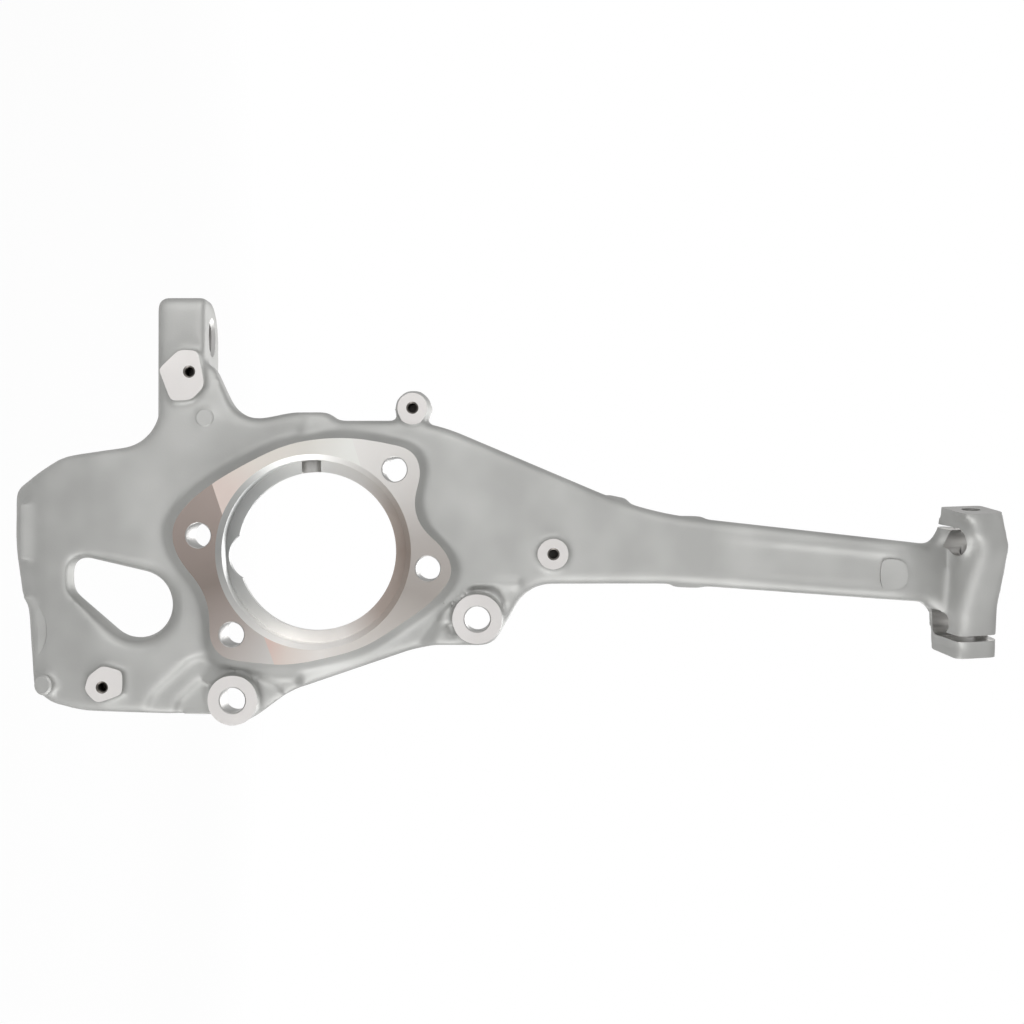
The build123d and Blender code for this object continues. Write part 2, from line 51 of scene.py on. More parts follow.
# hollow beside each caliper boss, half filled: the boss, from and to which angle, how far out, how high
HOLLOWS = (
    (CALIPER_BOLTS[0], 15, 190, 18.6, -13.5),
    (CALIPER_BOLTS[1], 60, 150, 19.0, -14.5),
)
THREAD_R, THREAD_CREST_R, THREAD_PITCH = 3.0, 2.5, 1.0
THREAD_FACE_H, THREAD_DEPTH = -10.0, 14.0
ROUND_BOSSES = ((52.1, 77.0), (127.7, -1.4))
PAD_BOSSES = ((-67.5, 96.4), (-114.2, -72.8))
ARM_PAD = ((-84.0, 97.8), (-72.9, 108.4), (-62.7, 107.9), (-58.9, 88.7), (-65.8, 81.4), (-77.4, 80.6))
LOWER_PAD = (
    (-121.9, -66.9), (-114.2, -60.8), (-103.2, -63.9), (-103.2, -76.5), (-117.1, -81.6), (-123.9, -74.5),
)
# cutter for the faces of the round bosses, kept clear of the casting beside them
ROUND_BOSS_CUT_R = 8.9
EYE_U, EYE_V, EYE_H = (-87.0, -61.0), 118.0, -46.0
EYE_R, EYE_MOUTH_R = 9.0, 11.0
LOWER_JOINTS = ((-162.5, 10.5, -52.0), (-155.0, -54.0, -52.0))
JOINT_R, JOINT_LENGTH = 8.0, 34.0
STUDS = ((345.6, 5.6, -29.0), (340.8, -40.0, -35.0))
STUD_R, STUD_TILT, STUD_RELIEF = 7.7, 21.0, 9.0
PINCH_U, PINCH_H, PINCH_R = 356.0, -35.0, 5.1
# one slit along the outer side of each stud bore: its width, and where its outer wall lies across the neck
SLIT_A, SLIT_A_V = 2.0, STUDS[0][1] + STUD_R
SLIT_B, SLIT_B_V = 3.2, STUDS[1][1] - STUD_R
HEAD_LEAN, HEAD_PIVOT = 8.6, (-18.0, -33.0)
HEAD_ENDS = (22.7, -57.0)
HEAD_BACK_H = (-45.0, -50.0)
# the cutters of the head's ends reach this far, up the neck and in height
HEAD_CUT_U, HEAD_CUT_H = (322.0, 392.0), (-66.0, 0.0)
# the head cut across: v, left, ridge, right, height of the ridge
HEAD_SECTIONS = (
    (22.7, 341.0, 350.7, 371.8, -17.5),
    (4.0, 338.5, 360.0, 376.0, -17.0),
    (-14.0, 336.5, 354.0, 373.6, -17.0),
    (-30.0, 335.5, 349.6, 371.0, -17.0),
    (-57.0, 338.8, 348.5, 371.2, -17.5),
)
SENSOR_U, SENSOR_H, SENSOR_R = -2.9, -18.5, 5.2
# soft hump over the sensor hole: how far across the neck, and its radius there
SENSOR_HUMP = ((50.0, 11.4), (67.0, 11.4), (72.0, 9.6))
FLANGE_OUTLINE = (
    (-53.5, 36.0), (-67.0, 24.8), (-74.2, 12.5), (-72.5, 0.0), (-58.6, -20.5), (-54.9, -35.0),
    (-53.6, -48.5), (-46.5, -56.0), (-36.5, -58.0), (-15.0, -59.6), (6.0, -56.3), (26.0, -50.4),
    (46.0, -38.5), (66.3, -22.6), (73.2, -10.5), (69.6, 0.3), (57.4, 13.6), (53.8, 26.0),
    (56.5, 44.0), (52.6, 52.4), (40.0, 57.2), (20.7, 60.1), (4.0, 59.8), (-12.0, 57.0), (-34.5, 47.2),
)
# lines where one pass of the face mill ends and the next begins, each through two points of the flange
PASS_LINES = (
    ((-53.5, 36.0), (-48.2, 20.1)),
    ((20.7, 59.9), (25.4, 45.05)),
    ((-25.4, -46.6), (-20.7, -59.4)),
)

# small raised marks of the mould: an ejector pin's, a stud and a pad
EJECTOR_AT, EJECTOR_R, EJECTOR_H = (-59.5, 71.8), 5.0, -11.0
STUD_MARK_AT, STUD_MARK_R, STUD_MARK_TILT = (-145.2, -72.2, -24.0), 5.5, 20.0
NECK_PAD = (
    (305.8, -6.5), (306.8, -5.2), (313.0, -4.6), (317.5, -6.6), (319.2, -11.0), (319.2, -15.0),
    (317.5, -19.0), (313.0, -21.0), (306.8, -20.4), (305.8, -19.0),
)
NECK_PAD_H = -20.3
# flat on the rolled edge of the plate
EDGE_FLAT_AT, EDGE_FLAT_R, EDGE_FLAT_H = (-168.6, -43.3), 21.6, -22.4

# the mould and the blast leave every edge soft: cell size of the remesh and rounds of smoothing
VOXEL = 1.6
SOFTENING = 9
# metal left on the flange and on the head's ends, which the cutters take away
STOCK = 3.0
# how far past the flange's edge its mill runs
MILL_RUN = 4.0
# how far the filling of a stud bore, pinch hole or sensor hole bites into its wall
BITE = 0.8
# height where tools that come from the back start, behind all that they cut
BEHIND = -60.0
# faces this close to the flange's plane belong to it
FLAT = 0.05
# slivers up to this size are merged away
BURR = 0.01
# points this close are one point, in metres
SAME_POINT = 1e-6
# faces that turn by more than this many degrees meet in a sharp edge
SHARP_ANGLE = 32

# in metres: the floor's size and height, and how far from the part its paper shows shadows
FLOOR_SIZE, FLOOR_Z, SHADOW_REACH = 40, -0.3, 2.0
# brightness of the room that the metal mirrors, low down and above
ROOM_LOW, ROOM_HIGH = 0.35, 0.78
# in metres: where the camera stands, and what the soft boxes look at
CAMERA_AT = (-0.0212, -0.954, 0.10547)
PART_MIDDLE = (0, 0.02, 0.1)

# from the drawing (u, v, h) to the part's own frame
DRAWING = Matrix(((0, -1, 0, 0), (0, 0, -1, 0), (1, 0, 0, 0), (0, 0, 0, 1)))


def pose(x, y, z, at=(0, 0, 0)):
    """Pose in the drawing from where the tool's own three axes point and where it stands."""
    turn = Matrix((x, y, z)).transposed().to_4x4()
    return Matrix.Translation(Vector(at) * MM) @ turn


def on_flange(u, v):
    """Tool stands on the flange drawing."""
    return pose((1, 0, 0), (0, 1, 0), (0, 0, 1), (u, v, 0))


def along_neck(v, h):
    """Tool lies along the neck."""
    return pose((0, 1, 0), (0, 0, 1), (1, 0, 0), (0, v, h))


def across_neck(u, h):
    """Tool lies across the neck."""
    return pose((0, 0, 1), (1, 0, 0), (0, 1, 0), (u, 0, h))


def in_head(tool_pose):
    """Pose inside the upright clamp head, leant over as the head is."""
    v, h = HEAD_PIVOT
    pivot = Matrix.Translation(Vector((0, v, h)) * MM)
    return pivot @ Matrix.Rotation(math.radians(HEAD_LEAN), 4, "X") @ pivot.inverted() @ tool_pose


def up_stud(at):
    """Tool points up a slanted stud bore."""
    a = math.radians(STUD_TILT)
    return in_head(pose((0, 1, 0), (math.sin(a), 0, math.cos(a)), (math.cos(a), 0, -math.sin(a)), at))


def standing(spots):
    """Poses of a tool that stands at several spots of the flange drawing."""
    return [on_flange(u, v) for u, v in spots]


# for tools drawn at their own place: on the flange, in the head, and as a slice across the head
FLANGE = [on_flange(0, 0)]
HEAD = [in_head(on_flange(0, 0))]
HEAD_SLICE = [in_head(pose((1, 0, 0), (0, 0, 1), (0, -1, 0)))]


def alone(piece):
    """Selects one object and nothing else."""
    bpy.ops.object.select_all(action="DESELECT")
    piece.select_set(True)
    bpy.context.view_layer.objects.active = piece


def plug(steps, sides=48):
    """Round tool: a disc, extruded and resized from step to step. A step is a height and a radius."""
    height, radius = steps[0]
    bpy.ops.object.select_all(action="DESELECT")
    bpy.ops.mesh.primitive_circle_add(
        vertices=sides, radius=radius * MM, fill_type="NGON", location=(0, 0, 0),
    )
    tool = bpy.context.object
    bpy.ops.object.mode_set(mode="EDIT")
    bpy.ops.mesh.select_all(action="SELECT")
    bpy.ops.transform.translate(value=(0, 0, height * MM))
    for (low, small), (high, large) in zip(steps, steps[1:]):
        bpy.ops.mesh.extrude_region_move(TRANSFORM_OT_translate={"value": (0, 0, (high - low) * MM)})
        wider = large / small
        bpy.ops.transform.resize(value=(wider, wider, 1), center_override=(0, 0, high * MM))
    bpy.ops.mesh.select_all(action="SELECT")
    bpy.ops.mesh.normals_make_consistent(inside=False)
    bpy.ops.object.mode_set(mode="OBJECT")
    return tool


def plate(corners, low, high, flowing=False):
    """Flat tool: a closed outline, straight or flowing through its corners, filled and thickened."""
    outline = bpy.data.curves.new("outline", "CURVE")
    outline.dimensions = "2D"
    outline.fill_mode = "BOTH"
    outline.extrude = (high - low) / 2 * MM
    outline.resolution_u = 8
    line = outline.splines.new("BEZIER")
    line.bezier_points.add(len(corners) - 1)
    for point, corner in zip(line.bezier_points, corners):
        point.co = Vector((corner[0], corner[1], 0)) * MM
        point.handle_left_type = point.handle_right_type = "AUTO" if flowing else "VECTOR"
    line.use_cyclic_u = True
    tool = bpy.data.objects.new("outline", outline)
    bpy.context.collection.objects.link(tool)
    alone(tool)
    bpy.ops.object.convert(target="MESH")
    tool = bpy.context.object
    bpy.ops.object.mode_set(mode="EDIT")
    bpy.ops.mesh.select_all(action="SELECT")
    bpy.ops.transform.translate(value=(0, 0, (low + high) / 2 * MM))
    bpy.ops.mesh.remove_doubles(threshold=SAME_POINT)
    if not flowing:
        bpy.ops.mesh.dissolve_limited(angle_limit=math.radians(0.1))
    bpy.ops.mesh.normals_make_consistent(inside=False)
    bpy.ops.object.mode_set(mode="OBJECT")
    return tool


def block(low, high):
    """Square tool between two corners."""
    size = Vector(high) - Vector(low)
    middle = (Vector(high) + Vector(low)) / 2
    bpy.ops.object.select_all(action="DESELECT")
    bpy.ops.mesh.primitive_cube_add(size=1, location=middle * MM, scale=size * MM)
    bpy.ops.object.transform_apply(location=True, rotation=False, scale=True)
    return bpy.context.object


def at_places(tool, poses):
    """Copies of a tool, each with its own mesh, at each pose. The tool itself is put away."""
    copies = []
    for tool_pose in poses:
        copy = bpy.data.objects.new(tool.name, tool.data.copy())
        bpy.context.collection.objects.link(copy)
        copy.data.transform(DRAWING @ tool_pose)
        copies.append(copy)
    bpy.data.objects.remove(tool)
    return copies


def joined(pieces):
    """One object out of several."""
    alone(pieces[0])
    for piece in pieces:
        piece.select_set(True)
    bpy.ops.object.join()
    return bpy.context.object


def spread(corners, reach, middle=(0, 0)):
    """Outline with every corner moved away from its middle."""
    moved = []
    for u, v in corners:
        r = math.hypot(u - middle[0], v - middle[1])
        moved.append((
            middle[0] + (u - middle[0]) * (r + reach) / r,
            middle[1] + (v - middle[1]) * (r + reach) / r,
        ))
    return moved


def pad_middle(corners):
    """Middle of a pad's corners."""
    return (sum(u for u, v in corners) / len(corners), sum(v for u, v in corners) / len(corners))


def bolt_places():
    """Poses of the four bolt holes on their circle."""
    places = []
    for angle in BOLT_ANGLES:
        a = math.radians(angle)
        places.append(on_flange(BOLT_CIRCLE_R * math.cos(a), BOLT_CIRCLE_R * math.sin(a)))
    return places


def head_section(v):
    """Outline of the clamp head where it is cut at v: u and h, its front corners eased."""
    for first, second in zip(HEAD_SECTIONS, HEAD_SECTIONS[1:]):
        if first[0] >= v >= second[0] or second == HEAD_SECTIONS[-1] or v > HEAD_SECTIONS[0][0]:
            break
    t = min(1.0, max(0.0, (first[0] - v) / (first[0] - second[0])))
    left, ridge, right, height = (a + (b - a) * t for a, b in zip(first[1:], second[1:]))
    return (
        (left + 0.3, HEAD_BACK_H[0] + 0.3),
        (right - 7.2, HEAD_BACK_H[1] + 0.4),
        (right - 1.6, height - 9.0),
        (right - 1.4, height - 6.4),
        (right - 3.6, height - 4.6),
        (ridge + 2.6, height - 0.9),
        (ridge, height - 0.5),
        (ridge - 2.0, height - 1.7),
    )


def hexed(text):
    """Linear colour of an sRGB hex text."""
    values = []
    for i in (0, 2, 4):
        c = int(text[i:i + 2], 16) / 255
        values.append(c / 12.92 if c <= 0.04045 else ((c + 0.055) / 1.055) ** 2.4)
    return (*values, 1.0)


def add_node(tree, kind, settings, links=()):
    """Adds a node to a tree, sets its values and properties, and links its sockets to their sources."""
    node = tree.nodes.new(kind)
    for name, value in settings.items():
        if name in node.inputs:
            node.inputs[name].default_value = value
        else:
            setattr(node, name, value)
    for name, source in links:
        tree.links.new(source, node.inputs[name])
    return node


def metal(name, roughness, marks, depth, patch=None, tones_and_painted_sheen=((0.35, "ABABA9"), (0.65, "B8B8B6"))):
    """Metal with fine marks that stand proud of it, and colours that change slowly over it.

    marks has one size in millimetres for each of the three axes, and depth is how proud they stand. With a
    patch size in millimetres the colours are random blotches of that size; without one they are painted
    sheen, lighter and darker sectors round the hub, from its left side on through below, the right and
    above.
    A scale counts sizes in a metre.
    """
    material = bpy.data.materials.new(name)
    material.use_nodes = True
    tree = material.node_tree
    shader = tree.nodes["Principled BSDF"]
    shader.inputs["Metallic"].default_value = 1.0
    shader.inputs["Roughness"].default_value = roughness
    place = add_node(tree, "ShaderNodeTexCoord", {}).outputs["Object"]
    if patch:
        tone_and_sheen = add_node(
            tree, "ShaderNodeTexNoise", {"Scale": 1000 / patch, "Detail": 2.0}, [("Vector", place)],
        )
    else:
        # without a patch size the colour is painted sheen: lighter and darker sectors by the angle round
        # the hub
        drawing = add_node(
            tree, "ShaderNodeMapping", {"Rotation": DRAWING.inverted().to_euler()}, [("Vector", place)],
        )
        tone_and_sheen = add_node(
            tree, "ShaderNodeTexGradient", {"gradient_type": "RADIAL"},
            [("Vector", drawing.outputs["Vector"])],
        )
    ramp = add_node(tree, "ShaderNodeValToRGB", {}, [("Fac", tone_and_sheen.outputs["Fac"])])
    stops = ramp.color_ramp.elements
    for at, _ in tones_and_painted_sheen[1:-1]:
        stops.new(at)
    for stop, (at, colour) in zip(stops, tones_and_painted_sheen):
        stop.position = at
        stop.color = hexed(colour)
    tree.links.new(ramp.outputs["Color"], shader.inputs["Base Color"])
    fine = min(marks)
    pull = add_node(tree, "ShaderNodeMapping", {"Scale": [fine / m for m in marks]}, [("Vector", place)])
    grain = add_node(
        tree, "ShaderNodeTexNoise", {"Scale": 1000 / fine, "Detail": 1.0},
        [("Vector", pull.outputs["Vector"])],
    )
    relief = add_node(
        tree, "ShaderNodeBump", {"Strength": 1.0, "Distance": depth * MM},
        [("Height", grain.outputs["Fac"])],
    )
    tree.links.new(relief.outputs["Normal"], shader.inputs["Normal"])
    return material


# shot-blasted cast aluminium: dull even grey with broad soft lights; the grit of about 0.5 mm is too fine
# to show and is drawn as 1 mm
CAST = metal("shot_blasted_cast_aluminium", 0.66, (1.0, 1.0, 1.0), 0.035, 40.0)
# face-milled aluminium: bright, with faint lines; the real feed of 0.2 mm is drawn as 1.2 mm
MILLED = metal(
    "face_milled_aluminium", 0.45, (1.2, 20.0, 24.0), 0.01, 60.0, ((0.3, "D6D3D1"), (0.7, "E4E1DF")),
)
# spot-faced aluminium: duller than the milled faces, from the flat cutter of a drill press; its marks of
# about 0.2 mm are drawn as 1.5 mm
SPOT_FACED = metal(
    "spot_faced_aluminium", 0.55, (1.5, 6.0, 1.5), 0.01, 30.0, ((0.35, "B6B5B3"), (0.65, "C2C1BF")),
)
# the flange is face-milled in three passes, whose curved lines throw the light in sectors; that sheen is
# painted into each pass's colour as lighter, darker and warm sectors round the hub, warm where the light
# falls along the lines
LEFT_PASS_PAINTED_SHEEN = metal(
    "face_milled_aluminium_left_pass_painted_sheen", 0.45, (20.0, 20.0, 1.2), 0.01, None,
    (
        (0.0, "958A84"), (0.05, "8A807A"), (0.12, "A89F9A"), (0.19, "CBC8C5"), (0.9, "A59993"),
        (1.0, "958A84"),
    ),
)
UPPER_PASS_PAINTED_SHEEN = metal(
    "face_milled_aluminium_upper_pass_painted_sheen", 0.45, (1.2, 20.0, 24.0), 0.01, None,
    (
        (0.0, "E0E0DC"), (0.7, "E0E0DC"), (0.76, "D6D3CD"), (0.84, "DAD4CD"), (0.9, "D8CAC3"),
        (1.0, "D8CAC3"),
    ),
)
RIGHT_PASS_PAINTED_SHEEN = metal(
    "face_milled_aluminium_right_pass_painted_sheen", 0.45, (1.2, 20.0, 24.0), 0.01, None,
    (
        (0.18, "D2BCB4"), (0.21, "D9CFC8"), (0.26, "E2DEDA"), (0.34, "CBC6C1"), (0.44, "A7A19C"),
        (0.52, "B4AFAB"), (0.6, "CFCCC9"), (0.7, "E0DEDB"),
    ),
)
# turned aluminium of the hub seat: fine rings that throw the light in sectors, painted into its colour as
# sheen, lighter and darker round the hub; the feed of 0.2 mm is drawn as 0.8 mm
TURNED_PAINTED_SHEEN = metal(
    "turned_aluminium_painted_sheen", 0.45, (30.0, 0.8, 30.0), 0.008, None,
    (
        (0.0, "A9AAA9"), (0.1, "C9C9C7"), (0.2, "F0EEEB"), (0.3, "E8E5E2"), (0.38, "B9AEA7"),
        (0.5, "A1958D"), (0.58, "AFA69F"), (0.66, "D4D2CF"), (0.76, "E0E0DE"), (0.88, "B4B5B4"),
        (1.0, "A9AAA9"),
    ),
)
# drilled and reamed aluminium: grey walls with fine score lines of about 0.1 mm, drawn as 0.8 mm
DRILLED = metal(
    "drilled_aluminium", 0.4, (8.0, 0.8, 8.0), 0.008, 30.0, ((0.35, "BCBBB9"), (0.65, "C8C7C5")),
)
# tapped aluminium: the threads are painted dark, painted shade of the deep blind holes, varied in patches
# of a few millimetres
TAPPED_PAINTED_SHADE = metal(
    "tapped_aluminium_painted_shade", 0.4, (2.0, 2.0, 2.0), 0.005, 6.0, ((0.35, "5E5B57"), (0.65, "7A7672")),
)


def mould_filling():
    """Metal that the machining takes away later: the casting before its holes and faces are cut."""
    pieces = at_places(plate(spread(FLANGE_OUTLINE, -0.4), -9.0, STOCK, True), FLANGE)
    hub = plug(((-RING_DEPTH, SEAT_R + 0.5), (-6.0, MOUTH_R + 0.5), (STOCK, MOUTH_R)), 96)
    pieces += at_places(hub, FLANGE)
    bolt = plug(((-33.6, BOLT_SEAT_R - 0.6), (-BOLT_GRIP, BOLT_SEAT_R - 0.6), (-26.0, 7.5), (STOCK, 7.0)))
    pieces += at_places(bolt, bolt_places())
    boss = plug(((-28.6, CALIPER_BOSS_R - 0.7), (-26.0, CALIPER_BOSS_R - 0.2), (-3.0, CALIPER_BOSS_R)))
    pieces += at_places(boss, standing(CALIPER_BOLTS))
    for (u, v), first, last, reach, top in HOLLOWS:
        rim = [math.radians(first + (last - first) * i / 10) for i in range(11)]
        corners = [(u + reach * math.cos(a), v + reach * math.sin(a)) for a in rim]
        pieces += at_places(plate(corners + [(u, v)], -26.0, top), FLANGE)
    round_boss = plug(((-24.5, 7.6), (-13.0, 8.6), (-7.0, 8.0)))
    pieces += at_places(round_boss, standing(ROUND_BOSSES))
    for corners in (ARM_PAD, LOWER_PAD):
        pieces += at_places(plate(spread(corners, -0.3, pad_middle(corners)), -23.0, -7.0), FLANGE)
    eye = plug(((EYE_U[0] + 0.2, EYE_R + 1), (EYE_U[1] - 0.2, EYE_MOUTH_R + 1)))
    pieces += at_places(eye, [along_neck(EYE_V, EYE_H)])
    for u, v, h in LOWER_JOINTS:
        joint = plug(((u + 0.2, JOINT_R + 1), (u + JOINT_LENGTH - 0.2, JOINT_R + 1)))
        pieces += at_places(joint, [along_neck(v, h)])
    over_sensor = [across_neck(SENSOR_U, SENSOR_H)]
    pieces += at_places(plug(SENSOR_HUMP), over_sensor)
    pieces += at_places(plug(((46.0, SENSOR_R + BITE), (74.6, SENSOR_R + BITE))), over_sensor)
    pieces += at_places(plug(((2.5, STUD_R + BITE), (24.0, STUD_R + BITE))), [up_stud(at) for at in STUDS])
    pinch = plug(((HEAD_ENDS[1] + 0.2, PINCH_R + BITE), (HEAD_ENDS[0] - 0.2, PINCH_R + BITE)))
    pieces += at_places(pinch, [in_head(across_neck(PINCH_U, PINCH_H))])
    # both slits and both ends of the head, each filled by a slice between two places across the neck
    for start, end in (
        (SLIT_A_V - SLIT_A - 0.6, SLIT_A_V + 0.6),
        (SLIT_B_V - 0.6, SLIT_B_V + SLIT_B + 0.6),
        (HEAD_ENDS[0] - 3.0, HEAD_ENDS[0] + STOCK),
        (HEAD_ENDS[1] - STOCK, HEAD_ENDS[1] + 3.0),
    ):
        pieces += at_places(plate(head_section((start + end) / 2), -end, -start), HEAD_SLICE)
    return pieces


def casting():
    """The casting as it leaves the mould and the shot blast: a copy of the solid, filled and softened."""
    piece = bpy.data.objects.new("knuckle_casting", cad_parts["knuckle"].data.copy())
    bpy.context.collection.objects.link(piece)
    alone(piece)
    bpy.ops.object.mode_set(mode="EDIT")
    bpy.ops.mesh.select_all(action="SELECT")
    bpy.ops.mesh.remove_doubles(threshold=SAME_POINT)
    bpy.ops.object.mode_set(mode="OBJECT")
    piece = joined([piece] + mould_filling())
    mould = piece.modifiers.new("mould", "REMESH")
    mould.mode = "VOXEL"
    mould.voxel_size = VOXEL * MM
    blast = piece.modifiers.new("blast", "SMOOTH")
    blast.factor = 0.5
    blast.iterations = SOFTENING
    bpy.ops.object.modifier_apply(modifier="mould")
    bpy.ops.object.modifier_apply(modifier="blast")
    piece.data.materials.clear()
    piece.data.materials.append(CAST)
    return piece


def cut(piece, name, tools, finish, operation="DIFFERENCE"):
    """Takes tools away from the casting, or adds them to it; what they leave has their finish."""
    tool = joined(tools)
    tool.data.materials.clear()
    tool.data.materials.append(finish)
    alone(piece)
    cutting = piece.modifiers.new(name, "BOOLEAN")
    cutting.operation = operation
    cutting.solver = "MANIFOLD"
    cutting.material_mode = "TRANSFER"
    cutting.object = tool
    bpy.ops.object.modifier_apply(modifier=name)
    bpy.data.objects.remove(tool)


def cast_marks(piece):
    """Small crisp marks, put on after the blast has softened the rest."""
    u, v = EJECTOR_AT
    pin = plug(((-20.0, EJECTOR_R + 0.5), (EJECTOR_H - 0.6, EJECTOR_R), (EJECTOR_H, EJECTOR_R - 0.8)), 32)
    tools = at_places(pin, [on_flange(u, v)])
    stud = plug(((-8.0, STUD_MARK_R), (7.2, STUD_MARK_R), (8.2, STUD_MARK_R - 1)), 32)
    a = math.radians(STUD_MARK_TILT)
    leaning = pose((math.cos(a), 0, math.sin(a)), (0, 1, 0), (-math.sin(a), 0, math.cos(a)), STUD_MARK_AT)
    tools += at_places(stud, [leaning])
    tools += at_places(plate(spread(NECK_PAD, 0.7), -24.0, NECK_PAD_H - 0.5, True), FLANGE)
    tools += at_places(plate(NECK_PAD, -24.0, NECK_PAD_H, True), FLANGE)
    cut(piece, "marks", tools, CAST, "UNION")
    flat = plug(((EDGE_FLAT_H, EDGE_FLAT_R), (-12.0, EDGE_FLAT_R + 4)), 96)
    cut(piece, "edge_flat", at_places(flat, [on_flange(*EDGE_FLAT_AT)]), CAST)


def mill_faces(piece):
    """Flange, caliper faces and thread pads."""
    tools = at_places(plate(spread(FLANGE_OUTLINE, MILL_RUN), 0.0, 9.0, True), FLANGE)
    caliper = plug(((CALIPER_FACE_H, CALIPER_BOSS_R + 2), (4.0, CALIPER_BOSS_R + 2)))
    tools += at_places(caliper, standing(CALIPER_BOLTS))
    round_boss = plug(((THREAD_FACE_H, ROUND_BOSS_CUT_R), (-1.0, ROUND_BOSS_CUT_R)))
    tools += at_places(round_boss, standing(ROUND_BOSSES))
    for corners in (ARM_PAD, LOWER_PAD):
        tools += at_places(plate(spread(corners, 2.0, pad_middle(corners)), THREAD_FACE_H, -1.0), FLANGE)
    cut(piece, "milling", tools, MILLED)


def spot_face(piece):
    """Seats of the screw heads at the back, and the two ends of the head."""
    caliper = plug(((BEHIND, CALIPER_BOSS_R + 2), (CALIPER_BACK_H, CALIPER_BOSS_R + 2)))
    tools = at_places(caliper, standing(CALIPER_BOLTS))
    tools += at_places(plug(((BEHIND, BOLT_SEAT_R), (-BOLT_GRIP, BOLT_SEAT_R))), bolt_places())
    high, low = HEAD_ENDS
    (near, far), (back, front) = HEAD_CUT_U, HEAD_CUT_H
    tools += at_places(block((near, high, back), (far, high + 12, front)), HEAD)
    tools += at_places(block((near, low - 12, back), (far, low, front)), HEAD)
    cut(piece, "spot_facing", tools, SPOT_FACED)


def turn_hub(piece):
    """Hub seat with its chamfer, the lip and the scallop beside it."""
    seat = plug((
        (BEHIND, LIP_R), (-SEAT_DEPTH, LIP_R),
        (-SEAT_DEPTH, SEAT_R), (SEAT_R - MOUTH_R, SEAT_R),
        (0.0, MOUTH_R), (6.0, MOUTH_R + 3),
    ), 160)
    # the seat here and the scallop below get a colour with painted sheen, sectors round the hub
    cut(piece, "turning", at_places(seat, FLANGE), TURNED_PAINTED_SHEEN)
    scallop = plug(((BEHIND, SCALLOP_R), (-SEAT_DEPTH, SCALLOP_R)), 96)
    cut(piece, "scallop", at_places(scallop, [on_flange(*SCALLOP_AT)]), TURNED_PAINTED_SHEEN)


def drill_holes(piece):
    """Bolt holes, the arm's eye, the lower joints and the sensor hole."""
    bolt = plug((
        (BEHIND, BOLT_HOLE_R), (-0.5, BOLT_HOLE_R),
        (0.0, BOLT_HOLE_R + 0.5), (6.0, BOLT_HOLE_R + 6),
    ))
    tools = at_places(bolt, bolt_places())
    caliper = plug((
        (BEHIND, CALIPER_HOLE_R), (CALIPER_FACE_H - 0.6, CALIPER_HOLE_R),
        (CALIPER_FACE_H, CALIPER_HOLE_R + 0.6), (2.0, CALIPER_HOLE_R + 8),
    ))
    tools += at_places(caliper, standing(CALIPER_BOLTS))
    eye = plug((
        (EYE_U[0] - 6, EYE_R), (EYE_U[1] - 2, EYE_R),
        (EYE_U[1], EYE_MOUTH_R), (EYE_U[1] + 6, EYE_MOUTH_R + 6),
    ), 64)
    tools += at_places(eye, [along_neck(EYE_V, EYE_H)])
    for u, v, h in LOWER_JOINTS:
        tools += at_places(plug(((u - 9, JOINT_R), (u + JOINT_LENGTH + 11, JOINT_R))), [along_neck(v, h)])
    cut(piece, "drilling", tools, DRILLED)
    sensor = plug(((30.0, SENSOR_R), (90.0, SENSOR_R)))
    cut(piece, "sensor_hole", at_places(sensor, [across_neck(SENSOR_U, SENSOR_H)]), DRILLED)


def cut_head(piece):
    """Slanted stud bores, the pinch bolt's hole and the two slits that let the head close."""
    stud = plug(((-STUD_RELIEF, STUD_R), (60.0, STUD_R)))
    cut(piece, "stud_bores", at_places(stud, [up_stud(at) for at in STUDS]), DRILLED)
    pinch = plug(((-88.0, PINCH_R), (52.0, PINCH_R)))
    cut(piece, "pinch_hole", at_places(pinch, [in_head(across_neck(PINCH_U, PINCH_H))]), DRILLED)
    upper = block((320.0, SLIT_A_V - SLIT_A, STUDS[0][2] - 36), (400.0, SLIT_A_V, STUDS[0][2] - 4))
    lower = block((320.0, SLIT_B_V, STUDS[1][2]), (400.0, SLIT_B_V + SLIT_B, STUDS[1][2] + 30))
    cut(piece, "slits", at_places(upper, HEAD) + at_places(lower, HEAD), DRILLED)


def tap_threads(piece):
    """Four blind threads, each a stack of V-shaped turns with a countersunk mouth."""
    steps = [(THREAD_FACE_H - THREAD_DEPTH, THREAD_CREST_R)]
    turns = int(THREAD_DEPTH / THREAD_PITCH) - 1
    for turn in range(turns):
        h = THREAD_FACE_H - THREAD_DEPTH + 0.2 + turn * THREAD_PITCH
        steps += [(h, THREAD_CREST_R), (h + THREAD_PITCH / 2, THREAD_R)]
    steps.append((THREAD_FACE_H - 0.6, THREAD_CREST_R))
    steps += [(THREAD_FACE_H, THREAD_R + 0.3), (THREAD_FACE_H + 4, THREAD_R + 4.3)]
    # the threads' dark colour is painted shade
    cut(piece, "tapping", at_places(plug(steps, 32), standing(ROUND_BOSSES + PAD_BOSSES)), TAPPED_PAINTED_SHADE)


def of_flange(face, milled):
    """Whether a face is a part of the flange's milled plane."""
    return face.material_index == milled and abs(face.center.y) < FLAT * MM


def beyond(line, face):
    """How far a face lies to the right of a pass line, up the neck."""
    (u, v), (other_u, other_v) = line
    at_v = -face.center.x / MM
    return face.center.z / MM - u - (at_v - v) * (other_u - u) / (other_v - v)


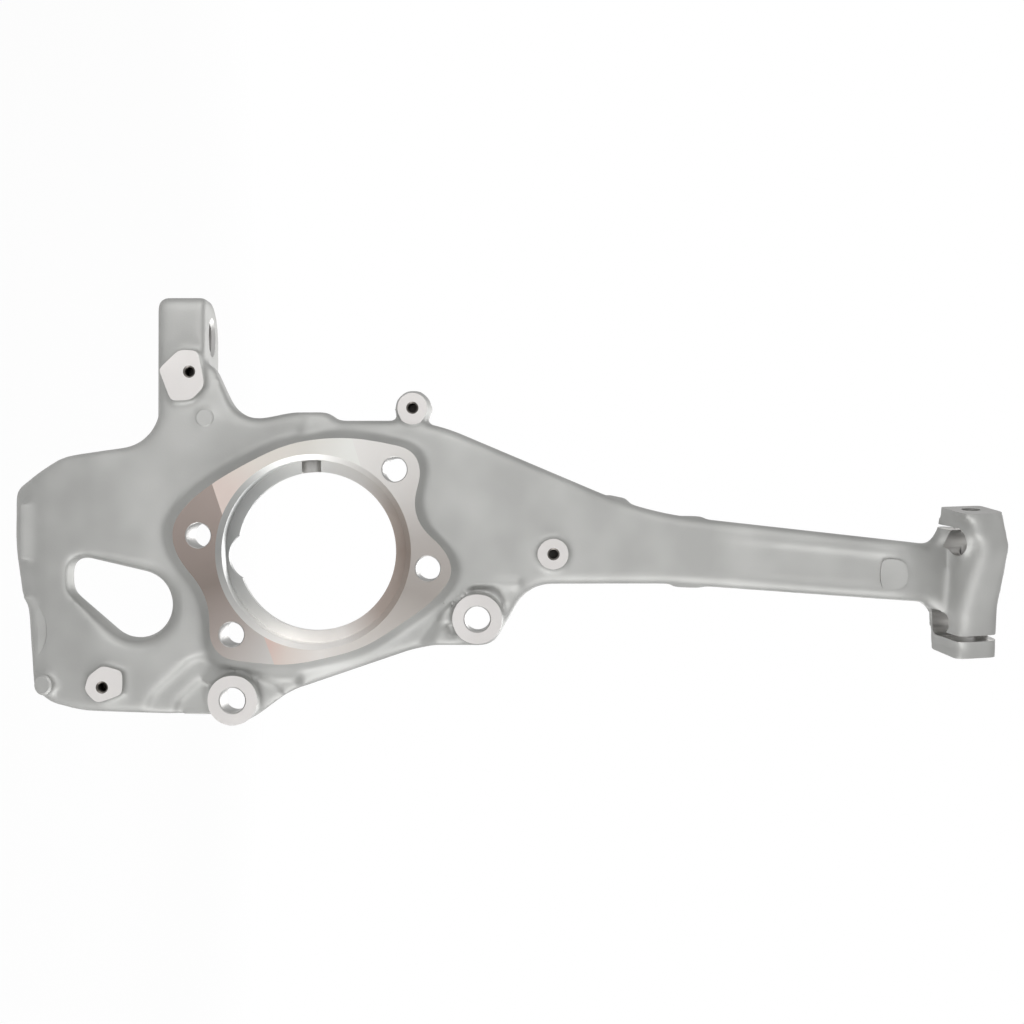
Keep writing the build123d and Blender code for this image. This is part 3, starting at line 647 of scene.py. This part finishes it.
def mark_passes(piece):
    """Splits the flange face where the mill's passes meet and gives each pass its own material, painted
    with its own sectors of sheen.
    """
    alone(piece)
    milled = [m.name for m in piece.data.materials].index(MILLED.name)
    looks = []
    for look in (LEFT_PASS_PAINTED_SHEEN, UPPER_PASS_PAINTED_SHEEN, RIGHT_PASS_PAINTED_SHEEN):
        piece.data.materials.append(look)
        looks.append(len(piece.data.materials) - 1)
    for start, end in PASS_LINES:
        for face in piece.data.polygons:
            face.select = of_flange(face, milled)
        bpy.ops.object.mode_set(mode="EDIT")
        run = DRAWING @ Vector((end[0] - start[0], end[1] - start[1], 0))
        across = run.cross(Vector((0, 1, 0))).normalized()
        bpy.ops.mesh.bisect(plane_co=DRAWING @ (Vector((*start, 0)) * MM), plane_no=across)
        bpy.ops.object.mode_set(mode="OBJECT")
    left_line, right_line, low_line = PASS_LINES
    for face in piece.data.polygons:
        if of_flange(face, milled):
            above = face.center.x < 0
            if beyond(left_line if above else low_line, face) < 0:
                face.material_index = looks[0]
            elif above and beyond(right_line, face) < 0:
                face.material_index = looks[1]
            else:
                face.material_index = looks[2]


def deburr(piece):
    """Takes away the folded slivers that the cuts leave where two tools almost touch."""
    alone(piece)
    bpy.ops.object.mode_set(mode="EDIT")
    bpy.ops.mesh.select_all(action="SELECT")
    bpy.ops.mesh.remove_doubles(threshold=BURR * MM)
    bpy.ops.mesh.dissolve_degenerate(threshold=BURR * MM)
    bpy.ops.object.mode_set(mode="OBJECT")


def shade(piece):
    """Smooth shading, sharp where a face turns or one finish meets another."""
    alone(piece)
    for slot in range(len(piece.data.materials)):
        piece.active_material_index = slot
        bpy.ops.object.mode_set(mode="EDIT")
        bpy.ops.mesh.select_mode(type="FACE")
        bpy.ops.mesh.select_all(action="DESELECT")
        bpy.ops.object.material_slot_select()
        bpy.ops.mesh.region_to_loop()
        bpy.ops.mesh.mark_sharp()
        bpy.ops.object.mode_set(mode="OBJECT")
    bpy.ops.object.shade_smooth_by_angle(angle=math.radians(SHARP_ANGLE), keep_sharp_edges=True)


knuckle = casting()
cast_marks(knuckle)
mill_faces(knuckle)
spot_face(knuckle)
turn_hub(knuckle)
drill_holes(knuckle)
cut_head(knuckle)
tap_threads(knuckle)
mark_passes(knuckle)
deburr(knuckle)
shade(knuckle)
knuckle.data.name = "knuckle_casting"
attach(knuckle, "root")
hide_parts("knuckle")


def white_floor():
    """Pale floor some way under the part, which hangs by its hub bore; it keeps the part's shadow."""
    bpy.ops.object.select_all(action="DESELECT")
    bpy.ops.mesh.primitive_plane_add(size=FLOOR_SIZE, location=(0, 0, FLOOR_Z))
    bpy.ops.object.transform_apply(location=True, rotation=False, scale=False)
    floor = bpy.context.object
    floor.name = "floor"
    paper = bpy.data.materials.new("white_paper")
    paper.use_nodes = True
    tree = paper.node_tree
    tree.nodes.clear()
    place = add_node(tree, "ShaderNodeTexCoord", {}).outputs["Object"]
    # paper shows its shadows near the part and is plain white to the camera further out
    share = 1 / SHADOW_REACH
    reach = add_node(tree, "ShaderNodeMapping", {"Scale": (share, share, share)}, [("Vector", place)])
    near = add_node(
        tree, "ShaderNodeTexGradient", {"gradient_type": "SPHERICAL"},
        [("Vector", reach.outputs["Vector"])],
    )
    glowing = add_node(
        tree, "ShaderNodeMapRange", {"To Min": 1.0, "To Max": 0.86}, [("Value", near.outputs["Fac"])],
    )
    path = add_node(tree, "ShaderNodeLightPath", {})
    part = add_node(tree, "ShaderNodeMath", {"operation": "MULTIPLY"})
    tree.links.new(path.outputs["Is Camera Ray"], part.inputs[0])
    tree.links.new(glowing.outputs["Result"], part.inputs[1])
    pulp = add_node(tree, "ShaderNodeBsdfDiffuse", {"Color": hexed("CFCFCF")})
    glow = add_node(tree, "ShaderNodeEmission", {"Color": hexed("FFFFFF")})
    mix = add_node(tree, "ShaderNodeMixShader", {}, [("Fac", part.outputs["Value"])])
    tree.links.new(pulp.outputs["BSDF"], mix.inputs[1])
    tree.links.new(glow.outputs["Emission"], mix.inputs[2])
    add_node(tree, "ShaderNodeOutputMaterial", {}, [("Surface", mix.outputs["Shader"])])
    floor.data.materials.append(paper)
    return floor


def studio_world():
    """White to the camera. What the metal mirrors is less bright, most of all low down."""
    world = bpy.data.worlds.new("studio")
    bpy.context.scene.world = world
    world.use_nodes = True
    tree = world.node_tree
    tree.nodes.clear()
    way = add_node(tree, "ShaderNodeTexCoord", {}).outputs["Generated"]
    height = add_node(tree, "ShaderNodeSeparateXYZ", {}, [("Vector", way)])
    light = add_node(
        tree, "ShaderNodeMapRange",
        {"From Min": -0.8, "From Max": 0.8, "To Min": ROOM_LOW, "To Max": ROOM_HIGH},
        [("Value", height.outputs["Z"])],
    )
    room = add_node(
        tree, "ShaderNodeBackground", {"Color": hexed("FFFFFF")},
        [("Strength", light.outputs["Result"])],
    )
    white = add_node(tree, "ShaderNodeBackground", {"Color": hexed("FFFFFF"), "Strength": 1.0})
    path = add_node(tree, "ShaderNodeLightPath", {})
    mix = add_node(tree, "ShaderNodeMixShader", {}, [("Fac", path.outputs["Is Camera Ray"])])
    tree.links.new(room.outputs["Background"], mix.inputs[1])
    tree.links.new(white.outputs["Background"], mix.inputs[2])
    add_node(tree, "ShaderNodeOutputWorld", {}, [("Surface", mix.outputs["Shader"])])


def soft_box(name, place, size, power):
    """Square soft box that looks at the part."""
    turn = (Vector(PART_MIDDLE) - Vector(place)).to_track_quat("-Z", "Y").to_euler()
    bpy.ops.object.light_add(type="AREA", location=place, rotation=turn)
    box = bpy.context.object
    box.name = name
    box.data.shape = "SQUARE"
    box.data.size = size
    box.data.energy = power


def photo_camera():
    """Camera square to the flange, turned a quarter so that the neck runs to the right."""
    bpy.ops.object.camera_add()
    camera = bpy.context.object
    camera.data.sensor_width = 36.0
    camera.data.lens = 63.28
    camera.matrix_world = Matrix.Translation(CAMERA_AT) @ DRAWING
    bpy.context.scene.camera = camera


white_floor()
studio_world()
soft_box("key", (1.15, -0.7, 0.0), 1.2, 19.0)
soft_box("fill", (-0.9, -1.0, 0.1), 1.0, 10.0)
soft_box("back", (0.2, 1.0, 0.7), 0.9, 9.0)
photo_camera()
bpy.context.scene.view_settings.view_transform = "Standard"
